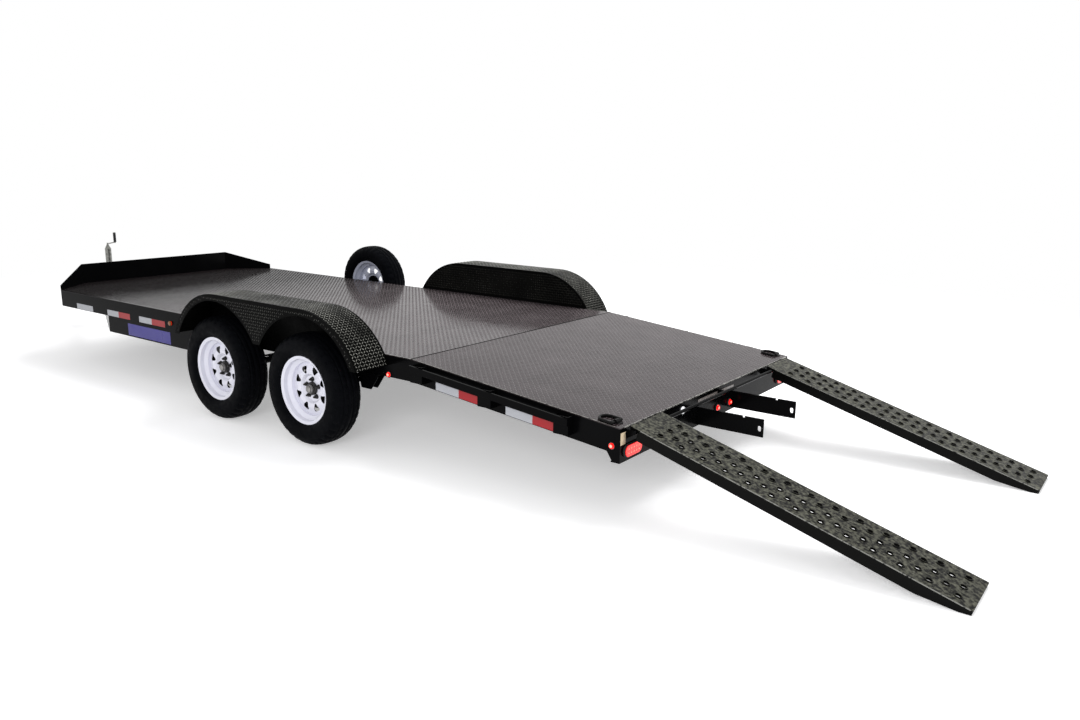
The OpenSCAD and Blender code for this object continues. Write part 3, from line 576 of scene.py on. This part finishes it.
def deck_lugs():
    """Lugs on both deck plates, clear of their edges and of the lashing rings' clips."""
    level = Shape()
    slant = (HALF_W - NOSE_W / 2) / (RAIL_X - NOSE_X)
    margin, clip_r = 0.022, 0.012

    def on_level(u, v):
        return Vector((NOSE_X + u, v, DECK_Z)), Z, X

    def inside(u, v):
        return u > margin and abs(v) < min(HALF_W, NOSE_W / 2 + u * slant) - margin

    lug_field(level, on_level, BEND_X - NOSE_X - 0.01, 2 * HALF_W - 0.03, inside)
    level.piece("deck_lugs", DECK_LUG, slot="black_treadplate")

    sloped = Shape()
    along = Vector((math.cos(DOVE_TILT), 0, -math.sin(DOVE_TILT)))
    out = Vector((math.sin(DOVE_TILT), 0, math.cos(DOVE_TILT)))
    start = Vector((BEND_X, 0, DECK_Z))
    clips = [middle("ring_left"), middle("ring_right")]

    def on_slope(u, v):
        return start + along * (u + 0.006) + Y * v, out, along

    def clear(u, v):
        p = on_slope(u, v)[0]
        return all((p - c).length > clip_r for c in clips)

    lug_field(sloped, on_slope, (REAR_X - BEND_X) / math.cos(DOVE_TILT) - 0.012, 2 * HALF_W - 0.03, clear)
    sloped.piece("dovetail_lugs", DECK_LUG, slot="black_treadplate")


def fender_lugs(side, name):
    """Lugs on a fender: bright on its crown from end to end as a painted highlight, dark on its skirt and inner
    face as painted shade.
    """
    top, sides = Shape(), Shape()
    r = FENDER_R
    end = math.asin((FENDER_FOOT - FENDER_Z) / r)
    arc = r * (math.pi / 2 - end)
    flat = FENDER_FLAT
    total = 2 * arc + flat
    width = FENDER_OUT - HALF_W
    mid_y = side * (FENDER_OUT + HALF_W) / 2

    def crown(s):
        if arc < s < arc + flat:
            return Vector((ARCH_FRONT + s - arc, 0, FENDER_TOP)), Z
        if s <= arc:
            x, a = ARCH_FRONT, math.pi - end - s / r
        else:
            x, a = ARCH_REAR, math.pi / 2 - (s - arc - flat) / r
        out = Vector((math.cos(a), 0, math.sin(a)))
        return Vector((x, 0, FENDER_Z)) + out * r, out

    def on_crown(u, v):
        p, out = crown(u)
        return p + Y * (mid_y + v), out, Y.cross(out)

    lug_field(top, on_crown, total, width - 0.02)
    x0 = ARCH_FRONT - r
    high = FENDER_TOP - FENDER_FOOT
    lip, clear = 0.014, 0.012

    def face(y, out):
        return lambda u, v: (Vector((x0 + u, y, FENDER_FOOT + v + high / 2)), out, X)

    def spot(u, v):
        """Place on a side face and its distance from the nearer arc's centre line."""
        x, z = x0 + u, FENDER_FOOT + v + high / 2
        near = min(max(x, ARCH_FRONT), ARCH_REAR)
        return x, z, math.hypot(x - near, z - FENDER_Z)

    def on_skirt(u, v):
        x, z, d = spot(u, v)
        if d > r - lip or z < FENDER_FOOT + 0.01:
            return False
        open_r = r - SKIRT_H + lip
        if min(math.hypot(x - a, z - FENDER_Z) for a in (ARCH_FRONT, ARCH_REAR)) < open_r:
            return False
        return z > VALLEY_Z + clear or x < ARCH_FRONT or x > ARCH_REAR

    def above_deck(u, v):
        x, z, d = spot(u, v)
        return d < r - lip and z > DECK_Z + clear

    lug_field(sides, face(side * FENDER_OUT, Y * side), flat + 2 * r, high, on_skirt)
    lug_field(sides, face(side * HALF_W, Y * -side), flat + 2 * r, high, above_deck)
    top.piece("fender_top_lugs_" + name, LIT_CROWN_LUG, slot="fender_treadplate")
    sides.piece("fender_side_lugs_" + name, SHADED_SIDE_LUG, slot="fender_treadplate")


# Tyres with ribs, shoulder blocks and sidewall rings


def tyre(node, body, out):
    """A tyre round the node's middle; out points from the wheel to its dished side."""
    centre = middle(node)
    bead = RIM_R - 0.018
    crown = (TYRE_R - bead) / 2
    mid = (TYRE_R + bead) / 2
    half = TYRE_W / 2
    power = 2 / 2.9
    steps = 216
    grooves = (-0.052, -0.018, 0.018, 0.052)
    groove_half, groove_deep = 0.0042, 0.0075
    sipe_deep, shoulder_deep = 0.005, 0.006
    rings, ring_h, ring_w = (0.235, 0.262, 0.285), 0.0012, 0.0022
    profile = []
    for deg in list(range(-158, -40, 6)) + list(range(-40, 41, 2)) + list(range(46, 160, 6)):
        t = math.radians(deg)
        c, s = math.cos(t), math.sin(t)
        r = mid + crown * math.copysign(abs(c) ** power, c)
        z = half * math.copysign(abs(s) ** power, s)
        for ring in rings:
            z += math.copysign(ring_h, z) * math.exp(-((r - ring) / ring_w) ** 2)
        profile.append((r, z))
    place = frame_at(centre, out)
    verts = []
    for k in range(steps):
        a = 2 * math.pi * k / steps
        for r, z in profile:
            cut = 0
            if abs(z) < 0.062 and r > TYRE_R - 0.02:
                if min(abs(z - g) for g in grooves) < groove_half:
                    cut = groove_deep
                elif k % 6 == (2 if z > 0 else 0) and 0.022 < abs(z) < 0.05:
                    cut = sipe_deep
            elif abs(z) <= half and r > TYRE_R - 0.030 and k % 6 in (0, 1):
                cut = shoulder_deep
            z = min(half, max(-half, z))
            verts.append(place @ Vector(((r - cut) * math.cos(a), (r - cut) * math.sin(a), z)))
    obj = piece(node + "_tread", verts, wrap(len(profile), steps), MATERIAL["tyre_rubber"], body)
    solid = obj.modifiers.new("wall", "SOLIDIFY")
    solid.thickness = 0.009
    solid.offset = -1
    return obj


def wheel_trim(wheel, body):
    """Lug nuts, a valve and the hub cap's rim on one wheel."""
    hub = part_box("hub_" + wheel)
    side = -1 if "left" in wheel else 1
    out = Y * side
    centre = middle("rim_" + wheel)
    face = centre + out * DISC_T
    bolts, bolt_r, bolt_turn = 5, 0.0572, 0.3
    valve_r, valve_turn = 0.170, 1.1
    nuts = Shape()
    for k in range(bolts):
        a = 2 * math.pi * k / bolts + bolt_turn
        p = face + Vector((bolt_r * math.cos(a), 0, bolt_r * math.sin(a)))
        place = frame_at(p, out)
        nuts.prism(ngon(0.0115, 6, a), place, 0.017, 0.002)
        nuts.lathe([(0.0150, 0.0), (0.0145, 0.003), (0.011, 0.005)], place, 18)
        nuts.lathe([(0.0062, 0.016), (0.0062, 0.026), (0.005, 0.0275), (0.0, 0.0275)], place, 12)
    nuts.piece("lug_nuts_" + wheel, MATERIAL["hub_grey"], body, "hub_grey", smooth=False)
    tip = (hub[0] if side < 0 else hub[1]).y
    cap = Shape()
    place = frame_at((centre.x, tip, centre.z), out)
    cap.lathe([(0.0262, -0.018), (0.0272, -0.016), (0.0272, -0.012), (0.0264, -0.010), (0.0264, -0.005),
               (0.0215, 0.0), (0.012, 0.0006), (0.0, 0.0006)], place, 40)
    cap.piece("hub_cap_" + wheel, CAP_GREY, body, "hub_grey")
    valve = Shape()
    spoke = Vector((math.cos(valve_turn), 0, math.sin(valve_turn)))
    place = frame_at(centre + spoke * valve_r + out * 0.024, (out * 0.75 + spoke * 0.2).normalized())
    profile = [(0.009, -0.012), (0.008, 0.0), (0.0055, 0.008), (0.0048, 0.022), (0.0048, 0.034), (0.0, 0.036)]
    valve.lathe(profile, place, 14)
    valve.piece("valve_" + wheel, RUBBER, body, "tyre_rubber")


# Ramp details


def ramp_holes():
    """The traction holes' places on a ramp, in the ramp's own plane."""
    last = int((RAMP_LEN - HOLE_FIRST - TOE_MARGIN) // HOLE_PITCH)
    for row in range(HOLE_ROWS):
        for i in range(last + 1 - row % 2):
            yield HOLE_FIRST + (i + (row % 2) / 2) * HOLE_PITCH, (row - (HOLE_ROWS - 1) / 2) * HOLE_ROW


def ramp_lips(name):
    """A raised lip round each of a ramp's traction holes, and the rubbed edges of its top, bare steel that also
    stands in as a painted highlight.
    """
    node = "ramp_" + name
    body = f"ramp_{name}_body"
    hinge = next(j for j in frame["joints"] if j["child"] == body)
    pivot = Vector(hinge["pos_m"])
    low = HOOK_DEEP - TOE_H
    angle = math.asin(pivot.z / math.hypot(RAMP_LEN, low)) + math.atan2(low, RAMP_LEN)
    tilt = Matrix.Translation(pivot) @ Matrix.Rotation(angle, 4, "Y")
    lips = Shape()
    r = HOLE_D / 2
    for x, y in ramp_holes():
        place = tilt @ Matrix.Translation(Vector((x, y, HOOK_DEEP)))
        lips.lathe([(r + 0.0065, -0.0002), (r + 0.0035, 0.0020), (r + 0.0014, 0.0042), (r - 0.0002, 0.0044),
                    (r - 0.0012, 0.0022), (r - 0.0010, -0.0058)], place, 20)
    lips.piece(node + "_lips", MATERIAL["ramp_black"], body, "ramp_black")
    # Bare-steel strips along the top's edges: worn paint, and a painted highlight line on the edges.
    rubbed_and_highlight = Shape()
    half = (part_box(node)[1].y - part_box(node)[0].y) / 2
    steps = 40
    for way in (-1, 1):
        start = Vector((0.02, way * half, HOOK_DEEP))
        end = Vector((RAMP_LEN - 0.01, way * half, HOOK_DEEP))
        lines = [Vector((0, dy * way, dz)) for dy, dz in ((-0.004, 0.0004), (0, 0.0004), (0.0003, -0.0025))]
        for i in range(steps):
            ends = [start.lerp(end, k / steps) for k in (i, i + 1)]
            rubbed_and_highlight.add([tilt @ (p + line) for line in lines for p in ends], [(0, 1, 3, 2), (2, 3, 5, 4)])
    rubbed_and_highlight.piece(node + "_rubbed", RAMP_WORN_EDGE_HIGHLIGHT, body, "ramp_black", smooth=False)


# Thin strips and plates on the frame


# Tapes and the label: how far each starts and ends behind the rail's front or the bend, and its colour
TAPE_T = 0.0006
TAPE_H = 0.045
RAIL_BOTTOM = DECK_Z - PLATE_T - RAIL_H
TAPE_LIFT = 0.003
RAIL_TAPES = ((0.255, 0.514, "w"), (0.741, 0.909, "w"), (0.909, 1.076, "r"), (1.209, 1.384, "w"),
              (1.384, 1.564, "r"))
DOVE_TAPES = ((0.190, 0.359, "w"), (0.359, 0.529, "r"), (0.688, 0.864, "w"), (0.864, 1.040, "r"))
LABEL = (1.037, 1.624)
LABEL_H = 0.091
LABEL_LIFT = 0.010


def strip(name, x0, x1, z, h, mat, side):
    """A thin tape on the outer face of a rail, following the deck's slope."""
    drop = DECK_Z - z
    low0, low1 = deck_z(x0) - drop, deck_z(x1) - drop
    corners = ((x0, low0), (x1, low1), (x1, low1 + h), (x0, low0 + h))
    verts = [(x, side * y, z) for y in (HALF_W, HALF_W + TAPE_T) for x, z in corners]
    faces = [(4, 5, 6, 7), (0, 1, 5, 4), (1, 2, 6, 5), (2, 3, 7, 6), (3, 0, 4, 7), (3, 2, 1, 0)]
    return piece(name, verts, faces, mat, smooth=False)


def tapes():
    """Tapes in white and red along both sides, and the plain label under them."""
    color = {"w": TAPE_WHITE, "r": TAPE_RED}
    z = RAIL_BOTTOM + TAPE_LIFT
    for side, tag in ((-1, "left"), (1, "right")):
        for prefix, start, runs in (("tape", RAIL_X, RAIL_TAPES), ("dove_tape", BEND_X, DOVE_TAPES)):
            for i, (a, b, kind) in enumerate(runs):
                strip(f"{prefix}_{tag}_{i}", start + a, start + b, z, TAPE_H, color[kind], side)
        a, b = LABEL
        strip(f"label_{tag}", RAIL_X + a, RAIL_X + b, RAIL_BOTTOM - RAIL_H + LABEL_LIFT, LABEL_H, BLUE, side)


def capsule(l, h, inward):
    """An oval outline l long and h high, moved inward."""
    r = h / 2 - inward
    half = (l - h) / 2
    points = []
    for s in (1, -1):
        for k in range(13):
            a = math.pi / 2 * s - math.pi * k / 12
            points.append((s * half + r * math.cos(a), r * math.sin(a)))
    return points


def ring_band(shape, place, rings):
    """Joins matching outlines, each at its own height, into a band."""
    n = len(rings[0][0])
    verts = [place @ Vector((u, v, h)) for pts, h in rings for u, v in pts]
    faces = [(r * n + i, (r + 1) * n + i, (r + 1) * n + (i + 1) % n, r * n + (i + 1) % n)
             for r in range(len(rings) - 1) for i in range(n)]
    shape.add(verts, faces)


def diode(shape, place, r=0.0055):
    """The bright dot of a lit diode."""
    shape.lathe([(0.0, 0.0008), (r * 0.7, 0.0006), (r, -0.0002)], place, 14)


def rear_trim():
    """Plates, lamp rings and glowing diodes on the rear face."""
    x = REAR_X
    apron_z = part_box("rear_apron")[1].z
    lens_r = 0.017
    lamp_size, lamp_in = (0.158, 0.065), 0.075
    label = Shape()
    label.prism(rectangle(0.046, 0.062), frame_at((x, -HALF_W + 0.026, apron_z - 0.050), X, Y), 0.0012, 0.0003)
    label.piece("corner_label", SAND)
    bright, soft, rings = Shape(), Shape(), Shape()
    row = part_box("id_lights")
    for y in (row[0].y + lens_r, 0.0, row[1].y - lens_r):
        place = frame_at((row[1].x, y, (row[0].z + row[1].z) / 2), X)
        diode(bright, place, 0.0075)
        rings.lathe([(0.021, -0.016), (0.021, -0.010), (0.018, -0.0075), (0.0165, -0.0085)], place, 28)
    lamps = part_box("tail_lights")
    for side in (-1, 1):
        c = Vector((lamps[1].x, side * (lamps[1].y - lamp_in), (lamps[0].z + lamps[1].z) / 2))
        for i in range(5):
            for j in range(2):
                diode(soft, frame_at(c + Vector((0, (i - 2) * 0.024, (j - 0.5) * 0.022)), X))
        bands = ((0.0, 0.0), (0.0, 0.010), (0.004, 0.013), (0.0055, 0.006))
        outlines = [(capsule(*lamp_size, inward), h) for inward, h in bands]
        ring_band(rings, frame_at(c - X * 0.016, X, Y), outlines)
    bright.piece("rear_diodes", LED_RED, slot="lamp_red")
    soft.piece("tail_diodes", LED_SOFT, slot="lamp_red")
    rings.piece("lamp_rings", RUBBER)
    bar = Shape()
    bar.prism(rectangle(0.450, 0.024), frame_at((x, -0.015, apron_z - 0.034), X, Y), 0.003, 0.001)
    bar.piece("apron_bar", GREY_BAR, smooth=False)
    lamp = Shape()
    lamp.lathe([(0.020, 0.0), (0.020, 0.006), (0.016, 0.010), (0.008, 0.012), (0.0, 0.0125)],
               frame_at((x, -0.418, apron_z - 0.041), X), 28)
    lamp.piece("clear_lamp", CLEAR)


def marker_trim():
    """Rubber rings and lit diodes of the side markers; the front ones are amber and unlit."""
    low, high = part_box("side_markers")
    bright, rings, amber = Shape(), Shape(), Shape()
    lens_r = 0.015
    spots = ((high.x - lens_r, low.z + lens_r), (BEND_X - 0.180, RAIL_BOTTOM + lens_r))
    for side in (-1, 1):
        for x, z in spots:
            place = frame_at((x, side * high.y, z), Y * side)
            diode(bright, place, 0.0085)
            rings.lathe([(0.019, -0.012), (0.019, -0.008), (0.0165, -0.0062), (0.0152, -0.0072)], place, 28)
        place = frame_at((low.x + lens_r, side * high.y, high.z - lens_r), Y * side)
        dome = [(0.0165, -0.009), (0.0165, -0.001), (0.014, 0.0012), (0.008, 0.0022), (0.0, 0.0025)]
        amber.lathe(dome, place, 28)
    bright.piece("marker_diodes", LED_RED, slot="lamp_red")
    rings.piece("marker_rings", RUBBER)
    amber.piece("amber_lens", AMBER, slot="lamp_red")


def worn_edge_and_highlight():
    """Paint rubbed off the deck's edges, as a skin a fraction of a millimetre thick, that also stands in as a
    painted highlight along them.
    """
    skin = Shape()
    proud, lap, thick = 0.0004, 0.004, 0.005

    def edge(a, b, out, up):
        """A skin over the corner between two points, on the plate's top and on its edge."""
        steps = max(2, int((b - a).length / 0.05))
        for i in range(steps):
            ends = (a + (b - a) * i / steps, a + (b - a) * (i + 1) / steps)
            inner = [p - out * lap + up * proud for p in ends]
            outer = [p + out * proud + up * proud for p in ends]
            under = [p + out * proud - up * thick for p in ends]
            skin.add([*inner, *outer, *under], [(0, 1, 3, 2), (2, 3, 5, 4)])

    # The skin is bare steel: rubbed paint, and a painted highlight along the edges.
    rear = Vector((REAR_X, 0, REAR_Z))
    side = Y * (HALF_W - 0.001)
    edge(rear - side * 0.97, rear + side * 0.97, X, Z)
    for way in (-1, 1):
        bend = Vector((BEND_X, 0, DECK_Z)) + side * way
        edge(rear - X * 0.03 + Z * 0.003 + side * way, bend, Y * way, Z)
        edge(bend, bend - X * 0.22, Y * way, Z)
    skin.piece("worn_edge_and_highlight", WORN_AND_HIGHLIGHT, slot="black_treadplate", smooth=False)


def welds():
    """Weld beads across the deck's bend and along the feet of the fenders."""
    random.seed(7)
    beads = Shape()

    def bead(a, b, out, r):
        """A small wavy half round between two points."""
        a, b = Vector(a), Vector(b)
        along = (b - a).normalized()
        steps = max(2, int((b - a).length / 0.004))
        side = Vector(out).cross(along)
        ring = 6
        verts = []
        for i in range(steps + 1):
            p = a + (b - a) * i / steps
            rr = r * (1 + 0.22 * math.sin(i * 1.9) + 0.1 * random.uniform(-1, 1))
            for k in range(ring):
                t = math.pi * k / (ring - 1)
                verts.append(p + side * rr * math.cos(t) + Vector(out) * rr * 0.7 * math.sin(t))
        faces = [(i * ring + k, i * ring + k + 1, (i + 1) * ring + k + 1, (i + 1) * ring + k)
                 for i in range(steps) for k in range(ring - 1)]
        beads.add(verts, faces)

    bead((BEND_X, -HALF_W + 0.004, DECK_Z), (BEND_X, HALF_W - 0.004, DECK_Z), Z, 0.0032)
    reach = math.sqrt(FENDER_R ** 2 - (DECK_Z - FENDER_Z) ** 2)
    for side in (-1, 1):
        bead((ARCH_FRONT - reach, side * HALF_W, DECK_Z), (ARCH_REAR + reach, side * HALF_W, DECK_Z),
             (Z - Y * side).normalized(), 0.003)
    beads.piece("weld_beads", MATERIAL["gloss_black"], slot="gloss_black")


def grip_ribs():
    """The crank's ribbed rubber grip."""
    low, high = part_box("jack_crank")
    r, ribs, h = 0.0125, 11, 0.093
    centre = Vector((low.x + r, high.y - r, 0))
    grip = Shape()
    top = high.z - 0.004
    profile = [(0.0, top), (0.010, top), (0.0132, top - 0.003)]
    for i in range(ribs):
        z = top - 0.006 - i * (h - 0.012) / ribs
        profile += [(0.0136, z), (0.0126, z - 0.003), (0.0126, z - 0.005), (0.0136, z - 0.0072)]
    profile += [(r, top - h), (0.0, top - h)]
    grip.lathe(profile, Matrix.Translation(centre), 24)
    grip.piece("crank_grip", RUBBER, "jack_screw", "zinc_steel")


for side, tag in ((-1, "left"), (1, "right")):
    fender_lugs(side, tag)
deck_lugs()
for wheel in ("front_left", "front_right", "rear_left", "rear_right"):
    body = "wheel_" + wheel
    made = tyre("tyre_" + wheel, body, Y * (-1 if "left" in wheel else 1))
    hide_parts("tyre_" + wheel)
    wheel_trim(wheel, body)
made = tyre("spare_tyre", "chassis", -Y)
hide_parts("spare_tyre")
for name in ("left", "right"):
    ramp_lips(name)
tapes()
rear_trim()
marker_trim()
worn_edge_and_highlight()
welds()
grip_ribs()


# Floor, light and camera


def only_seen(nodes):
    """1 for camera, mirror and glass rays, 0 for the light that falls on things."""
    rays = nodes.node("LightPath")
    total = rays.outputs["Is Camera Ray"]
    for name in ("Is Glossy Ray", "Is Transmission Ray"):
        total = nodes.math("MAXIMUM", total, rays.outputs[name])
    return total


def backdrop():
    """A background that looks white and lights things less than white would."""
    world = bpy.data.worlds.new("studio")
    bpy.context.scene.world = world
    world.use_nodes = True
    nodes = Nodes(world.node_tree)
    background = nodes.tree.nodes["Background"]
    background.inputs["Color"].default_value = (1, 1, 1, 1)
    nodes.link(nodes.remap(only_seen(nodes), 0.62, 1.0, 0.0, 1.0), background.inputs["Strength"])


def floor():
    """A floor that takes the part's shadow and turns to plain white farther away."""
    m = Shader("studio_floor", (0.86, 0.86, 0.87), 0.9)
    m.set("Specular IOR Level", 0.0)
    m.set("Emission Color", (1, 1, 1, 1))
    seen = only_seen(m)
    m.wire("Emission Strength", m.math("MULTIPLY", seen, 0.38))
    place = m.node("NewGeometry")
    reach = m.node("VectorMath", operation="LENGTH")
    m.link(place.outputs["Position"], reach.inputs[0])
    far = m.node("MapRange", interpolation_type="SMOOTHSTEP", From_Min=5.5, From_Max=9.0)
    m.link(reach.outputs["Value"], far.inputs["Value"])
    white = m.node("Emission")
    mix = m.node("MixShader")
    m.link(m.math("MULTIPLY", seen, far.outputs["Result"]), mix.inputs["Fac"])
    m.link(m.bsdf.outputs[0], mix.inputs[1])
    m.link(white.outputs[0], mix.inputs[2])
    m.link(mix.outputs[0], m.tree.nodes["Material Output"].inputs["Surface"])
    mesh = bpy.data.meshes.new("studio_floor")
    size = 120.0
    mesh.from_pydata([(x, y, 0) for x, y in rectangle(size, size)], [], [(0, 1, 2, 3)])
    mesh.materials.append(m.mat)
    ground = bpy.data.objects.new("studio_floor", mesh)
    bpy.context.scene.collection.objects.link(ground)


def soft_box(name, place, target, size, power):
    """A rectangular lamp that lights the part and leaves no glare of its own on it."""
    data = bpy.data.lights.new(name, "AREA")
    data.shape = "RECTANGLE"
    data.size, data.size_y = size
    data.energy = power
    lamp = bpy.data.objects.new(name, data)
    lamp.location = place
    lamp.visible_glossy = False
    lamp.rotation_euler = (Vector(target) - Vector(place)).to_track_quat("-Z", "Y").to_euler()
    bpy.context.scene.collection.objects.link(lamp)


def camera():
    """A camera at the photograph's own angle."""
    azimuth, elevation, roll = (math.radians(a) for a in (36.78, 12.76, 0.67))
    place = Vector((4.860, -4.480, 1.704))
    focal_px, frame_px, sensor = 880.5, 1080.0, 36.0
    level = math.cos(elevation)
    forward = Vector((-math.sin(azimuth) * level, math.cos(azimuth) * level, -math.sin(elevation)))
    right = Vector((math.cos(azimuth), math.sin(azimuth), 0))
    up = right.cross(forward)
    tilted = right * math.cos(roll) + up * math.sin(roll)
    up = up * math.cos(roll) - right * math.sin(roll)
    data = bpy.data.cameras.new("camera")
    data.sensor_width = sensor
    data.lens = sensor * focal_px / frame_px
    cam = bpy.data.objects.new("camera", data)
    cam.matrix_world = Matrix((tilted, up, -forward)).transposed().to_4x4()
    cam.location = place
    bpy.context.scene.collection.objects.link(cam)
    bpy.context.scene.camera = cam


backdrop()
floor()
soft_box("key", (1.5, 3.0, 6.5), (0, 0, 0.4), (7.0, 4.0), 560)
soft_box("fill", (5.0, -7.0, 3.2), (0.5, 0, 0.5), (4.0, 2.5), 260)
camera()
bpy.context.scene.view_settings.view_transform = "Standard"
